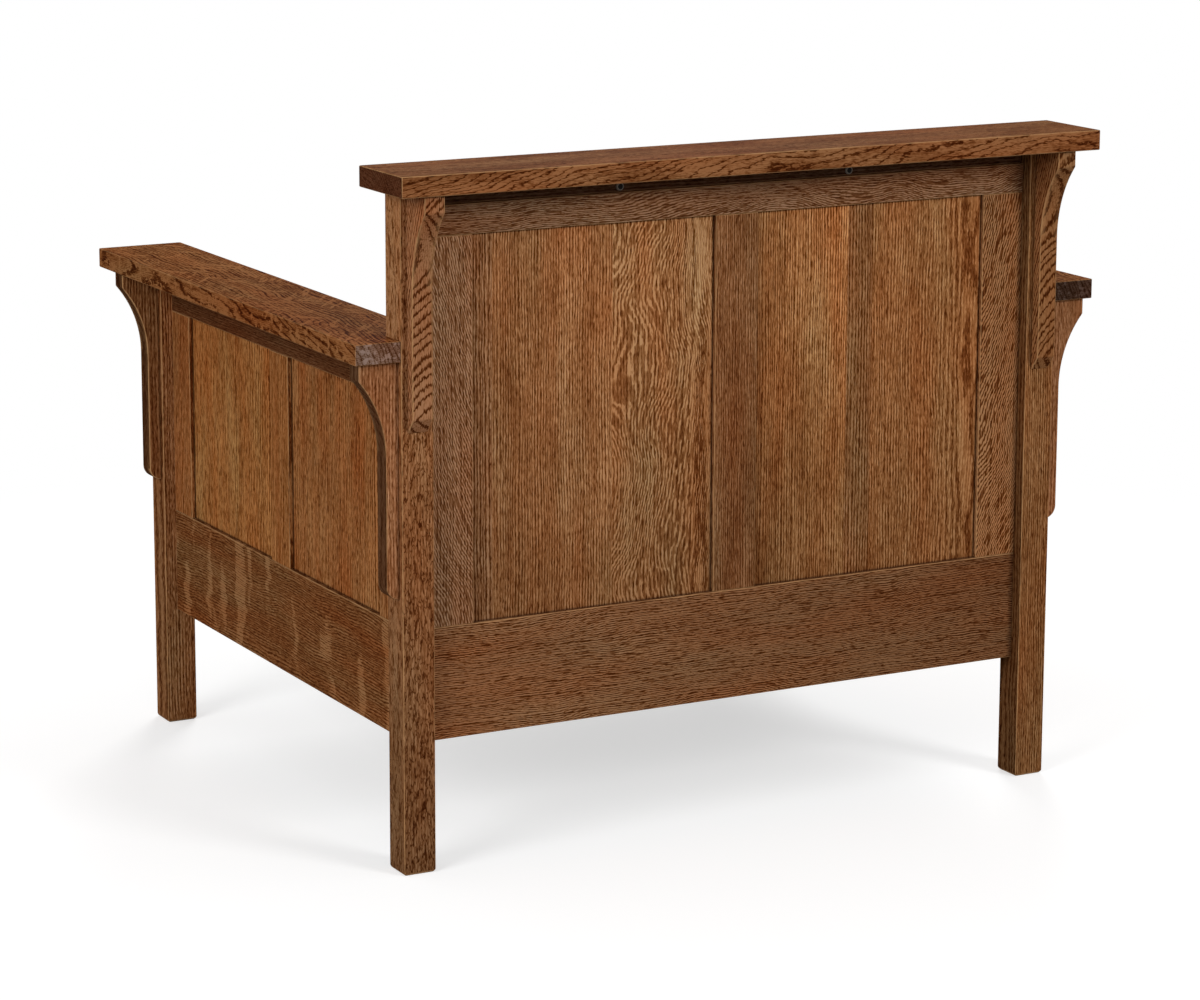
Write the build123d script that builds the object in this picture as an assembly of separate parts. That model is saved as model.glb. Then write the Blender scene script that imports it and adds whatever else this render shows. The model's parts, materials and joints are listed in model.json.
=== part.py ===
from build123d import *
import os
from math import asin, cos, radians, sin, sqrt

# Lengths are in millimetres. The sitter faces -Y, +X is the sitter's left, the floor is at Z = 0,
# and the origin is the middle of the floor area that the whole chair covers.

# Oak frame as a whole
overall_height = 908.0
frame_width = 984.5  # over the posts
frame_depth = 844.5  # over the posts
post_width = 44.5
foot_chamfer = 3.0
plank_thickness = 27.0  # arms and cap
arm_height = 694.5  # floor to the top of the arm
arm_front_overhang = 32.0
arm_inner_overhang = 18.5
arm_outer_overhang = 62.5
cap_end_overhang = 25.5
cap_front_overhang = 20.5
cap_back_overhang = 60.0

# Frames with flat panels
frame_thickness = 19.0
panel_thickness = 6.5
groove_depth = 8.0
panel_edge_gap = 1.5  # room for the panel to swell in its groove
tenon_thickness = 9.5
tenon_shoulder = 12.0
tenon_end_gap = 1.25
mortise_wall = 2.0  # wood left between two mortises that meet in one post
floor_gap = 169.0  # floor to the bottom rails
bottom_rail_height = 148.0
back_set_in = 17.0  # back frame behind the posts' back faces
back_top_rail_height = 39.0
back_stile_width = 63.5
back_mullion_width = 64.0
side_set_in = 17.0  # side frames inside the posts' outer faces
side_top_rail_height = 58.5
side_stile_width = 62.0
side_mullion_width = 62.0

# Corbels under the arms and the cap
corbel_thickness = 28.0
corbel_height = 305.0
corbel_fascia = 22.0
corbel_curve_radius = 152.0
arm_corbel_reach = 54.0
arm_corbel_stem = 17.5
cap_corbel_reach = 52.5
cap_corbel_stem = 15.0
cap_corbel_chamfer = 19.0

# Cleat between the back frame and the cap, with its two screws
cleat_height = 23.0
cleat_depth = 34.0
cleat_set_in = 6.0
cap_screw_spacing = 344.0
cap_screw_rise = 7.0
cap_screw_length = 28.0
cap_screw_radius = 2.2
cap_screw_head_radius = 5.4
cap_screw_head_height = 3.2

# Steel tracks on the side frames
track_rise = 81.0  # lower edge of the bottom rail to the track's axis
track_depth = 18.0
track_wall = 2.5
track_end_gap = 8.0
track_screw_count = 4
track_screw_radius = 2.0
track_screw_head_radius = 4.2
track_screw_length = 16.0
screw_hole_clearance = 0.1

# Rollers and carriage plates
seat_travel = 225.0
roller_radius = 14.0
roller_width = 12.0
roller_track_gap = 0.3
roller_head_room = 1.0
roller_web_gap = 2.0
travel_end_gap = 6.0
axle_radius = 4.0
axle_collar_radius = 7.0
axle_head_thickness = 1.2
running_clearance = 0.05
side_play = 0.3
plate_thickness = 4.0
plate_track_gap = 3.0
plate_drop = 14.0  # below the track's axis
plate_lap = 30.0  # up the side of the seat box
link_gap = 0.5

# Seat box, webbing and seat cushion
seat_box_rise = 72.0  # track's axis to the underside of the seat box
seat_rail_height = 60.0
seat_rail_thickness = 20.0
seat_box_set_back = 47.0  # behind the front faces of the posts
seat_box_hinge_gap = 25.0
webbing_width = 50.0
webbing_thickness = 2.0
webbing_count = 6
soft_gap = 0.3
cushion_set_back = 10.0
cushion_hinge_gap = 10.0
cushion_side_gap = 2.75
seat_cushion_thickness = 100.0
seam_pull = 6.0

# Backrest
hinge_rise = 18.0  # top of the seat box to the hinge line
lean_angle = 12.0
back_clearance = 11.5  # between the top of the backrest and the cleat
hinge_pin_radius = 5.0
pin_head_radius = 8.0
pin_head_thickness = 2.5
pin_end = 2.0
ear_half_width = 25.0
ear_top = 18.0
backrest_board_thickness = 18.0
backrest_board_set_back = 8.0  # front face behind the hinge line
backrest_board_height = 472.0
backrest_board_drop = 12.0
bracket_thickness = 4.0
bracket_height = 120.0
bracket_lug = 14.0
bracket_lug_height = 28.0
back_cushion_thickness = 100.0
back_cushion_side_gap = 13.0
back_cushion_gap = 3.7  # above the seat cushion
back_cushion_top_gap = 2.0

# Footrest and its folding links
link_rail_gap = 3.0  # under the seat box
footrest_pivot_set_back = 30.0
link_length = 146.0
link_thickness = 4.0
link_half_width = 11.0
link_pin_radius = 5.0
cross_tube_radius = 9.0
footrest_board_thickness = 18.0
footrest_board_gap = 2.5
footrest_board_height = 184.0
footrest_board_top_gap = 6.0  # below the top of the seat box
footrest_board_side_gap = 6.0
footrest_pad_thickness = 45.0
footrest_pad_overlap = 2.0

# Cross stretcher under the seat
stretcher_height = 55.0
stretcher_thickness = 22.0
stretcher_set_back = 122.0
stretcher_track_gap = 5.0

# Overrun of a cutter past the face that it cuts
overrun = 1.0

# Planes of the oak frame
half_width = frame_width / 2
post_inner = half_width - post_width
overall_depth = arm_front_overhang + frame_depth + cap_back_overhang
arm_front = -overall_depth / 2
front_face = arm_front + arm_front_overhang
front_post_back = front_face + post_width
back_post_back = front_face + frame_depth
back_post_front = back_post_back - post_width
cap_back = overall_depth / 2
cap_front = back_post_front - cap_front_overhang
cap_underside = overall_height - plank_thickness
arm_underside = arm_height - plank_thickness
arm_inner = post_inner - arm_inner_overhang
arm_outer = half_width + arm_outer_overhang

back_frame_back = back_post_back - back_set_in
back_frame_front = back_frame_back - frame_thickness
side_frame_outer = half_width - side_set_in
side_frame_inner = side_frame_outer - frame_thickness
tenon_set_in = (frame_thickness + tenon_thickness) / 2
tenon_end = tenon_set_in + tenon_end_gap + mortise_wall
back_tenon_length = post_width - side_set_in - tenon_end
side_tenon_length = post_width - back_set_in - tenon_end
tongue_length = groove_depth - panel_edge_gap

cleat_back = back_frame_back - cleat_set_in
cleat_front = cleat_back - cleat_depth
cleat_bottom = cap_underside - cleat_height

# Planes of the moving seat
track_axis_height = floor_gap + track_rise
track_inner_low = track_axis_height - roller_radius - roller_track_gap
track_inner_high = track_axis_height + roller_radius + roller_head_room
track_low = track_inner_low - track_wall
track_high = track_inner_high + track_wall
track_front = front_post_back + track_end_gap
track_back = back_post_front - track_end_gap
track_mouth = side_frame_inner - track_depth
track_web = side_frame_inner - track_wall

plate_outer = track_mouth - plate_track_gap
plate_inner = plate_outer - plate_thickness
roller_outer = track_web - roller_web_gap
roller_inner = roller_outer - roller_width
front_roller_y = track_front + travel_end_gap + roller_radius + seat_travel

bracket_outer = plate_inner - link_gap
bracket_inner = bracket_outer - bracket_thickness
lower_link_outer = plate_inner - link_gap
lower_link_inner = lower_link_outer - link_thickness
upper_link_outer = lower_link_inner - link_gap
upper_link_inner = upper_link_outer - link_thickness
foot_bracket_outer = upper_link_inner - link_gap
foot_bracket_inner = foot_bracket_outer - bracket_thickness

seat_box_bottom = track_axis_height + seat_box_rise
seat_box_top = seat_box_bottom + seat_rail_height
seat_cushion_bottom = seat_box_top + webbing_thickness + soft_gap
hinge_height = seat_box_top + hinge_rise
back_cushion_bottom = seat_cushion_bottom + seat_cushion_thickness + back_cushion_gap - hinge_height

lean_sin = sin(radians(lean_angle))
lean_cos = cos(radians(lean_angle))
board_back_depth = backrest_board_set_back + backrest_board_thickness
backrest_reach = backrest_board_height * lean_sin + board_back_depth * lean_cos
hinge_y = cleat_front - back_clearance - backrest_reach
back_roller_y = hinge_y + axle_collar_radius

seat_box_front = front_face + seat_box_set_back
seat_box_back = hinge_y - seat_box_hinge_gap
seat_box_inner = plate_inner - seat_rail_thickness

foot_pivot_y = seat_box_front + footrest_pivot_set_back
footrest_pivot_height = seat_box_bottom - link_rail_gap - link_half_width
footrest_board_top = seat_box_top - footrest_board_top_gap
footrest_board_bottom = footrest_board_top - footrest_board_height
foot_board_back = seat_box_front - footrest_board_gap
foot_board_front = foot_board_back - footrest_board_thickness
foot_board_half = lower_link_outer - footrest_board_side_gap


def block(x_ends, y_ends, z_ends):
    # A board between two planes each way.
    lows = [min(ends) for ends in (x_ends, y_ends, z_ends)]
    sizes = [abs(ends[1] - ends[0]) for ends in (x_ends, y_ends, z_ends)]
    return Pos(*lows) * Box(*sizes, align=(Align.MIN, Align.MIN, Align.MIN))


def rod(start, end, radius):
    # A round bar from one X to another, on the line through the given Y and Z.
    x_start, y, z = start
    length = abs(end - x_start)
    middle = (x_start + end) / 2
    return Pos(middle, y, z) * Rot(0, 90, 0) * Cylinder(radius, length)


def mirrored(shape):
    return mirror(shape, about=Plane.YZ)


def plate(points, x_ends):
    # A flat plate whose outline is a list of Y and Z, between two X planes.
    outline = Polyline(*[Vector(x_ends[0], y, z) for y, z in points], close=True)
    return extrude(make_face(outline), amount=x_ends[1] - x_ends[0], dir=(1, 0, 0))


# Posts

def side_tenon(y_ends, z_ends):
    # The strip along a side rail that ends in its two tenons.
    middle = (side_frame_outer + side_frame_inner) / 2
    x_ends = (middle - tenon_thickness / 2, middle + tenon_thickness / 2)
    return block(x_ends, y_ends, (z_ends[0] + tenon_shoulder, z_ends[1] - tenon_shoulder))


def back_tenon(x_ends, z_ends):
    middle = (back_frame_back + back_frame_front) / 2
    y_ends = (middle - tenon_thickness / 2, middle + tenon_thickness / 2)
    return block(x_ends, y_ends, (z_ends[0] + tenon_shoulder, z_ends[1] - tenon_shoulder))


side_rail_levels = {
    "bottom": (floor_gap, floor_gap + bottom_rail_height),
    "top": (arm_underside - side_top_rail_height, arm_underside),
}
back_rail_levels = {
    "bottom": (floor_gap, floor_gap + bottom_rail_height),
    "top": (cleat_bottom - back_top_rail_height, cleat_bottom),
}


def post(y_ends, top):
    body = block((post_inner, half_width), y_ends, (0, top))
    foot = body.faces().sort_by(Axis.Z)[0]
    body = chamfer(foot.edges(), foot_chamfer)
    reach = side_tenon_length + tenon_end_gap
    for levels in side_rail_levels.values():
        body -= side_tenon((front_post_back - reach, back_post_front + reach), levels)
    return body


def front_post():
    return post((front_face, front_post_back), arm_underside)


def back_post():
    body = post((back_post_front, back_post_back), cap_underside)
    reach = post_inner + back_tenon_length + tenon_end_gap
    for levels in back_rail_levels.values():
        body -= back_tenon((-reach, reach), levels)
    return body


# Back frame and side frames: rails run from post to post, stiles and mullions stand between them

def slab(run, along, through, up):
    # A board of a frame that runs along X or along Y.
    if run == "X":
        return block(along, through, up)
    return block(through, along, up)


def middle_strip(through, thickness):
    middle = sum(through) / 2
    return (middle - thickness / 2, middle + thickness / 2)


def frame_rail(frame, level):
    low, high = frame["levels"][level]
    body = slab(frame["run"], frame["along"], frame["through"], (low, high))
    edge = (high - groove_depth, high) if level == "bottom" else (low, low + groove_depth)
    groove = slab(frame["run"], frame["along"], middle_strip(frame["through"], panel_thickness), edge)
    start, end = frame["along"]
    tenons = frame["tenon"]((start - frame["reach"], end + frame["reach"]), (low, high))
    return body - groove + tenons


def frame_upright(frame, along, grooves):
    # A stile or mullion, with a tongue at each end and a groove for each panel beside it.
    low, high = frame["levels"]["bottom"][1], frame["levels"]["top"][0]
    strip = middle_strip(frame["through"], panel_thickness)
    tongue = (low - tongue_length, high + tongue_length)
    body = slab(frame["run"], along, frame["through"], (low, high))
    body += slab(frame["run"], along, strip, tongue)
    for edge in grooves:
        cut = (along[0], along[0] + groove_depth) if edge == "low" else (along[1] - groove_depth, along[1])
        body -= slab(frame["run"], cut, strip, tongue)
    return body


def frame_panel(frame, opening):
    low, high = frame["levels"]["bottom"][1], frame["levels"]["top"][0]
    along = (opening[0] - tongue_length, opening[1] + tongue_length)
    strip = middle_strip(frame["through"], panel_thickness)
    return slab(frame["run"], along, strip, (low - tongue_length, high + tongue_length))


def frame_pieces(frame):
    start, end = frame["along"]
    stile, half_mullion = frame["stile"], frame["mullion"] / 2
    centre = (start + end) / 2
    return {
        "top_rail": frame_rail(frame, "top"),
        "bottom_rail": frame_rail(frame, "bottom"),
        "low_stile": frame_upright(frame, (start, start + stile), ("high",)),
        "high_stile": frame_upright(frame, (end - stile, end), ("low",)),
        "mullion": frame_upright(frame, (centre - half_mullion, centre + half_mullion), ("low", "high")),
        "low_panel": frame_panel(frame, (start + stile, centre - half_mullion)),
        "high_panel": frame_panel(frame, (centre + half_mullion, end - stile)),
    }


back_frame = {
    "run": "X",
    "along": (-post_inner, post_inner),
    "through": (back_frame_front, back_frame_back),
    "levels": back_rail_levels,
    "stile": back_stile_width,
    "mullion": back_mullion_width,
    "tenon": back_tenon,
    "reach": back_tenon_length,
}
side_frame = {
    "run": "Y",
    "along": (front_post_back, back_post_front),
    "through": (side_frame_inner, side_frame_outer),
    "levels": side_rail_levels,
    "stile": side_stile_width,
    "mullion": side_mullion_width,
    "tenon": side_tenon,
    "reach": side_tenon_length,
}


# Arms, cap and corbels

def arm():
    body = block((arm_inner, arm_outer), (arm_front, back_post_back), (arm_underside, arm_height))
    notch_x = (arm_inner - overrun, half_width)
    notch_y = (back_post_front, back_post_back + overrun)
    return body - block(notch_x, notch_y, (arm_underside - overrun, arm_height + overrun))


def cap():
    reach = half_width + cap_end_overhang
    return block((-reach, reach), (cap_front, cap_back), (cap_underside, overall_height))


def corbel(origin, outward, across, reach, stem, rounded_end):
    # A bracket with a fascia under the board, a hollow curve and a straight stem down the post.
    def at(out, drop):
        return origin + outward * out - Vector(0, 0, 1) * drop

    radius = corbel_curve_radius
    rise = sqrt(radius**2 - (radius - reach + stem) ** 2)
    half_turn = asin(rise / radius) / 2
    curve_end = corbel_fascia + rise
    curve_middle = at(stem + radius * (1 - cos(half_turn)), curve_end - radius * sin(half_turn))
    lines = [
        Line(at(0, 0), at(reach, 0)),
        Line(at(reach, 0), at(reach, corbel_fascia)),
        ThreePointArc(at(reach, corbel_fascia), curve_middle, at(stem, curve_end)),
    ]
    if rounded_end:
        shoulder = corbel_height - stem
        quarter = sin(radians(45)) * stem
        round_middle = at(quarter, shoulder + quarter)
        lines.append(Line(at(stem, curve_end), at(stem, shoulder)))
        lines.append(ThreePointArc(at(stem, shoulder), round_middle, at(0, corbel_height)))
    else:
        shoulder = corbel_height - cap_corbel_chamfer
        lines.append(Line(at(stem, curve_end), at(stem, shoulder)))
        lines.append(Line(at(stem, shoulder), at(0, corbel_height)))
    lines.append(Line(at(0, corbel_height), at(0, 0)))
    return extrude(make_face(lines), amount=corbel_thickness, dir=across)


def arm_corbel(post_start):
    y = post_start + (post_width - corbel_thickness) / 2
    origin = Vector(half_width, y, arm_underside)
    return corbel(origin, Vector(1, 0, 0), Vector(0, 1, 0), arm_corbel_reach, arm_corbel_stem, True)


def cap_corbel():
    x = post_inner + (post_width - corbel_thickness) / 2
    origin = Vector(x, back_post_back, cap_underside)
    return corbel(origin, Vector(0, 1, 0), Vector(1, 0, 0), cap_corbel_reach, cap_corbel_stem, False)


def cap_screw_bars(clearance):
    # The shanks of the two screws, which run forward into the cleat.
    bars = []
    for side in (-1, 1):
        middle = cleat_back - cap_screw_length / 2
        place = Pos(side * cap_screw_spacing / 2, middle, cleat_bottom + cap_screw_rise)
        bars.append(place * Rot(90, 0, 0) * Cylinder(cap_screw_radius + clearance, cap_screw_length))
    return bars


def cap_cleat():
    body = block((-post_inner, post_inner), (cleat_front, cleat_back), (cleat_bottom, cap_underside))
    for bar in cap_screw_bars(screw_hole_clearance):
        body -= bar
    return body


def cap_screws():
    screws = []
    for bar in cap_screw_bars(0):
        place = bar.center()
        head = Cylinder(cap_screw_head_radius, cap_screw_head_height)
        head = fillet(head.edges().sort_by(Axis.Z)[-1], cap_screw_head_height / 2)
        seat = Pos(place.X, cleat_back + cap_screw_head_height / 2, place.Z)
        screws.append(bar + seat * Rot(-90, 0, 0) * head)
    return Compound(screws)


# Stretcher and tracks

def cross_stretcher():
    front = front_face + stretcher_set_back
    top = track_low - stretcher_track_gap
    reach = side_frame_inner
    return block((-reach, reach), (front, front + stretcher_thickness), (top - stretcher_height, top))


def track_screw_bars(clearance):
    # Flat-headed screws through the web of the track into the bottom rail.
    bars = []
    pitch = (track_back - track_front) / track_screw_count
    for number in range(track_screw_count):
        y = track_front + pitch * (number + 1 / 2)
        shank_end = track_web + track_screw_length
        bar = rod((track_web, y, track_axis_height), shank_end, track_screw_radius + clearance)
        head = Cone(track_screw_head_radius + clearance, track_screw_radius + clearance, track_wall)
        head_place = Pos(track_web + track_wall / 2, y, track_axis_height)
        bars.append(bar + head_place * Rot(0, 90, 0) * head)
    return bars


def track():
    body = block((track_mouth, side_frame_inner), (track_front, track_back), (track_low, track_high))
    inside = (track_inner_low, track_inner_high)
    body -= block((track_mouth - overrun, track_web), (track_front - overrun, track_back + overrun), inside)
    for bar in track_screw_bars(screw_hole_clearance):
        body -= bar
    return body


# Carriage

def carriage_plate():
    front = foot_pivot_y - link_half_width
    back = hinge_y + ear_half_width
    low = track_axis_height - plate_drop
    base_top = seat_box_bottom + plate_lap
    ear_high = hinge_height + ear_top
    ear_front = hinge_y - ear_half_width
    points = [(front, low), (back, low), (back, ear_high), (ear_front, ear_high), (ear_front, base_top)]
    body = plate(points + [(front, base_top)], (plate_inner, plate_outer))
    hole_ends = plate_outer + overrun
    hinge_hole = (hinge_y, hinge_height, hinge_pin_radius)
    footrest_hole = (foot_pivot_y, footrest_pivot_height, link_pin_radius)
    for y, z, radius in (hinge_hole, footrest_hole):
        body -= rod((plate_inner - overrun, y, z), hole_ends, radius + running_clearance)
    return body


def headed_pin(y, z, radius, inner_end):
    # A pin with its head on the outer face of the carriage plate.
    shank = rod((inner_end, y, z), plate_outer, radius)
    return shank + rod((plate_outer, y, z), plate_outer + pin_head_thickness, pin_head_radius)


def carriage_pins():
    hinge_pin = headed_pin(hinge_y, hinge_height, hinge_pin_radius, bracket_inner - pin_end)
    foot_end = lower_link_inner - link_gap / 2
    foot_pin = headed_pin(foot_pivot_y, footrest_pivot_height, link_pin_radius, foot_end)
    pins = [hinge_pin, foot_pin]
    return Compound(pins + [mirrored(pin) for pin in pins])


def roller(y):
    z = track_axis_height
    bore = rod((roller_inner - overrun, y, z), roller_outer + overrun, axle_radius + running_clearance)
    return rod((roller_inner, y, z), roller_outer, roller_radius) - bore


def roller_axle(y):
    z = track_axis_height
    head_start = roller_outer + side_play
    collar = rod((plate_outer, y, z), roller_inner - side_play, axle_collar_radius)
    pin = rod((plate_outer, y, z), head_start + axle_head_thickness, axle_radius)
    head = rod((head_start, y, z), head_start + axle_head_thickness, axle_collar_radius)
    return collar + pin + head


def roller_axles():
    axles = [roller_axle(y) for y in (front_roller_y, back_roller_y)]
    return Compound(axles + [mirrored(axle) for axle in axles])


def roller_pair(y):
    return Compound([roller(y), mirrored(roller(y))])


# Seat

def seat_side_rail():
    y_ends = (seat_box_front, seat_box_back)
    return block((seat_box_inner, plate_inner), y_ends, (seat_box_bottom, seat_box_top))


def seat_cross_rail(start):
    y_ends = (start, start + seat_rail_thickness)
    return block((-seat_box_inner, seat_box_inner), y_ends, (seat_box_bottom, seat_box_top))


def seat_webbing():
    straps = []
    pitch = 2 * seat_box_inner / webbing_count
    for number in range(webbing_count):
        middle = pitch * (number + 1 / 2) - seat_box_inner
        x_ends = (middle - webbing_width / 2, middle + webbing_width / 2)
        z_ends = (seat_box_top, seat_box_top + webbing_thickness)
        straps.append(block(x_ends, (seat_box_front, seat_box_back), z_ends))
    return Compound(straps)


# Shares of the thickness at which a cushion is sectioned, and by which its edge is drawn in there
pillow_level_shares = (0, 0.12, 0.3, 0.62, 0.8, 0.92, 1)
pillow_inset_shares = (0.16, 0.03, 0, 0, 0.1, 0.32, 1.1)


def pillow(half_x, y_ends, thickness):
    # A crowned cushion on the plane Z = 0, whose sides pull in between its corners.
    low, high = y_ends
    sections = []
    for level_share, inset_share in zip(pillow_level_shares, pillow_inset_shares):
        z = thickness * level_share
        inset = thickness * inset_share
        x, front, back = half_x - inset, low + inset, high - inset
        middle = (front + back) / 2
        corners = [Vector(-x, front, z), Vector(x, front, z), Vector(x, back, z), Vector(-x, back, z)]
        pulled = [
            Vector(0, front + seam_pull, z),
            Vector(x - seam_pull, middle, z),
            Vector(0, back - seam_pull, z),
            Vector(seam_pull - x, middle, z),
        ]
        arcs = [ThreePointArc(corners[i], pulled[i], corners[(i + 1) % 4]) for i in range(4)]
        sections.append(make_face(arcs))
    return loft(sections, ruled=True)


def seat_cushion():
    y_ends = (front_face + cushion_set_back, hinge_y - cushion_hinge_gap)
    body = pillow(bracket_inner - cushion_side_gap, y_ends, seat_cushion_thickness)
    return Pos(0, 0, seat_cushion_bottom) * body


# Backrest, drawn upright about the hinge line and then leaned back

def leaned(shape):
    return Pos(0, hinge_y, hinge_height) * Rot(-lean_angle, 0, 0) * shape


def backrest_board():
    y_ends = (backrest_board_set_back, board_back_depth)
    z_ends = (-backrest_board_drop, backrest_board_height)
    return leaned(block((-bracket_inner, bracket_inner), y_ends, z_ends))


def backrest_bracket():
    low, back = -backrest_board_drop, board_back_depth
    front, top = backrest_board_set_back, bracket_height
    points = [(-bracket_lug, low), (back, low), (back, top), (front, top)]
    points += [(front, bracket_lug_height), (-bracket_lug, bracket_lug_height)]
    body = plate(points, (bracket_inner, bracket_outer))
    radius = hinge_pin_radius + running_clearance
    body -= rod((bracket_inner - overrun, 0, 0), bracket_outer + overrun, radius)
    return leaned(body)


def back_cushion():
    y_ends = (back_cushion_bottom, backrest_board_height - back_cushion_top_gap)
    body = pillow(arm_inner - back_cushion_side_gap, y_ends, back_cushion_thickness)
    return leaned(Pos(0, backrest_board_set_back - soft_gap, 0) * Rot(90, 0, 0) * body)


# Footrest, closed: the lower links hang from the carriage and the upper links fold back up beside them

link_tip_height = footrest_pivot_height - link_length


def link(x_ends):
    y_ends = (foot_pivot_y - link_half_width, foot_pivot_y + link_half_width)
    body = block(x_ends, y_ends, (link_tip_height, footrest_pivot_height))
    for z in (link_tip_height, footrest_pivot_height):
        body += rod((x_ends[0], foot_pivot_y, z), x_ends[1], link_half_width)
    for z in (link_tip_height, footrest_pivot_height):
        hole = link_pin_radius + running_clearance
        body -= rod((x_ends[0] - overrun, foot_pivot_y, z), x_ends[1] + overrun, hole)
    return body


def lower_links():
    left = link((lower_link_inner, lower_link_outer))
    reach = foot_bracket_outer
    tube = rod((-reach, foot_pivot_y, link_tip_height), reach, cross_tube_radius)
    tube += rod((-lower_link_outer, foot_pivot_y, link_tip_height), lower_link_outer, link_pin_radius)
    return Compound([left, mirrored(left), tube])


def upper_links():
    left = link((upper_link_inner, upper_link_outer))
    return Compound([left, mirrored(left)])


def footrest_board():
    z_ends = (footrest_board_bottom, footrest_board_top)
    return block((-foot_board_half, foot_board_half), (foot_board_front, foot_board_back), z_ends)


def footrest_brackets():
    x_ends = (foot_bracket_inner, foot_bracket_outer)
    z = footrest_pivot_height
    body = block(x_ends, (foot_board_back, foot_pivot_y), (z - link_half_width, z + link_half_width))
    body += rod((x_ends[0], foot_pivot_y, z), x_ends[1], link_half_width)
    stud_end = upper_link_outer + link_gap / 2 - side_play / 2
    body += rod((x_ends[1], foot_pivot_y, z), stud_end, link_pin_radius)
    return Compound([body, mirrored(body)])


def footrest_pad():
    low = footrest_board_bottom - footrest_pad_overlap
    high = footrest_board_top + footrest_pad_overlap
    body = pillow(foot_board_half + footrest_pad_overlap, (low, high), footrest_pad_thickness)
    return Pos(0, foot_board_front - soft_gap, 0) * Rot(90, 0, 0) * body


# The whole chair, one file for each named piece

pieces = {
    "arm_left": arm(),
    "post_front_left": front_post(),
    "post_back_left": back_post(),
    "arm_corbel_front_left": arm_corbel(front_face),
    "arm_corbel_back_left": arm_corbel(back_post_front),
    "cap_corbel_left": cap_corbel(),
    "track_left": track(),
    "carriage_plate_left": carriage_plate(),
}
for name, shape in frame_pieces(side_frame).items():
    name = name.replace("low_", "front_").replace("high_", "back_")
    pieces[f"side_{name}_left"] = shape
for bar in track_screw_bars(screw_hole_clearance):
    pieces["side_bottom_rail_left"] -= bar
pieces |= {name.replace("_left", "_right"): mirrored(shape) for name, shape in pieces.items()}

for name, shape in frame_pieces(back_frame).items():
    part, _, piece = name.partition("_")
    side = {"low": "right", "high": "left"}.get(part)
    pieces[f"back_{piece}_{side}" if side else f"back_{name}"] = shape

left_track_screws = track_screw_bars(0)
side_rail = seat_side_rail()
bracket = backrest_bracket()
pieces |= {
    "cap": cap(),
    "cap_cleat": cap_cleat(),
    "cap_screws": cap_screws(),
    "cross_stretcher": cross_stretcher(),
    "track_screws": Compound(left_track_screws + [mirrored(bar) for bar in left_track_screws]),
    "carriage_pins": carriage_pins(),
    "roller_axles": roller_axles(),
    "front_rollers": roller_pair(front_roller_y),
    "back_rollers": roller_pair(back_roller_y),
    "seat_front_rail": seat_cross_rail(seat_box_front),
    "seat_back_rail": seat_cross_rail(seat_box_back - seat_rail_thickness),
    "seat_side_rails": Compound([side_rail, mirrored(side_rail)]),
    "seat_webbing": seat_webbing(),
    "seat_cushion": seat_cushion(),
    "backrest_board": backrest_board(),
    "backrest_brackets": Compound([bracket, mirrored(bracket)]),
    "back_cushion": back_cushion(),
    "footrest_lower_links": lower_links(),
    "footrest_upper_links": upper_links(),
    "footrest_board": footrest_board(),
    "footrest_brackets": footrest_brackets(),
    "footrest_pad": footrest_pad(),
}

os.makedirs("parts", exist_ok=True)
for name, shape in pieces.items():
    export_step(shape, f"parts/{name}.step")
print(len(pieces), "pieces")
print("hinge line at Y", round(hinge_y, 3), "Z", hinge_height)
print("footrest pivot at Y", round(foot_pivot_y, 3), "Z", footrest_pivot_height, "and", link_tip_height)
print("rollers at Y", round(front_roller_y, 3), round(back_roller_y, 3), "Z", track_axis_height)
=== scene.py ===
import json
import math

import bmesh
import bpy
from mathutils import Euler, Matrix, Vector


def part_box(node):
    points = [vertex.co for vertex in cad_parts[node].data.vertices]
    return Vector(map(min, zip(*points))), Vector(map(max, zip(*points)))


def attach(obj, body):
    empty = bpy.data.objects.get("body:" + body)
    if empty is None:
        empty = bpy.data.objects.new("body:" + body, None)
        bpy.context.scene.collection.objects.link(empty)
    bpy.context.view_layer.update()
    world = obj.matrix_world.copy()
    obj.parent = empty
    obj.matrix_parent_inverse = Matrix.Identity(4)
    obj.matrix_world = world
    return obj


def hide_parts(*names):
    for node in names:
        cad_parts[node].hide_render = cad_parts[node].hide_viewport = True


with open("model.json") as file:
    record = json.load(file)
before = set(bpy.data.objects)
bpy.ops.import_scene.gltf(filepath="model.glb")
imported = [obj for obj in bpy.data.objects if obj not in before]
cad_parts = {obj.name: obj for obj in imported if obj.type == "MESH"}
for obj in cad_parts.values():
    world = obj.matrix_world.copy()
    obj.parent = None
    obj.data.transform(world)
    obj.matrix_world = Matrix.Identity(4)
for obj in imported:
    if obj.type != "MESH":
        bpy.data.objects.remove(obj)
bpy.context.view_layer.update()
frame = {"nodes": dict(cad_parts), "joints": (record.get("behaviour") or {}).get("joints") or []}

nodes = frame["nodes"]
scene = bpy.context.scene
millimetre = 0.001

# Node helpers. addNode gives back the node itself, the others what comes out of it.

def addNode(tree, kind, inputs=None, **settings):
    node = tree.nodes.new(kind)
    for name, value in settings.items():
        setattr(node, name, value)
    for key, value in (inputs or {}).items():
        if isinstance(value, bpy.types.NodeSocket):
            tree.links.new(value, node.inputs[key])
        else:
            node.inputs[key].default_value = value
    return node


def calc(tree, operation, first, second=0.0):
    return addNode(tree, "ShaderNodeMath", {0: first, 1: second}, operation=operation).outputs[0]


def linear(tree, value, gain, base):
    return calc(tree, "ADD", calc(tree, "MULTIPLY", value, gain), base)


def vectorCalc(tree, operation, first, second=(0, 0, 0)):
    return addNode(tree, "ShaderNodeVectorMath", {0: first, 1: second}, operation=operation).outputs[0]


def split(tree, vector):
    # the x, y and z of a vector
    return addNode(tree, "ShaderNodeSeparateXYZ", {0: vector}).outputs


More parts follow.
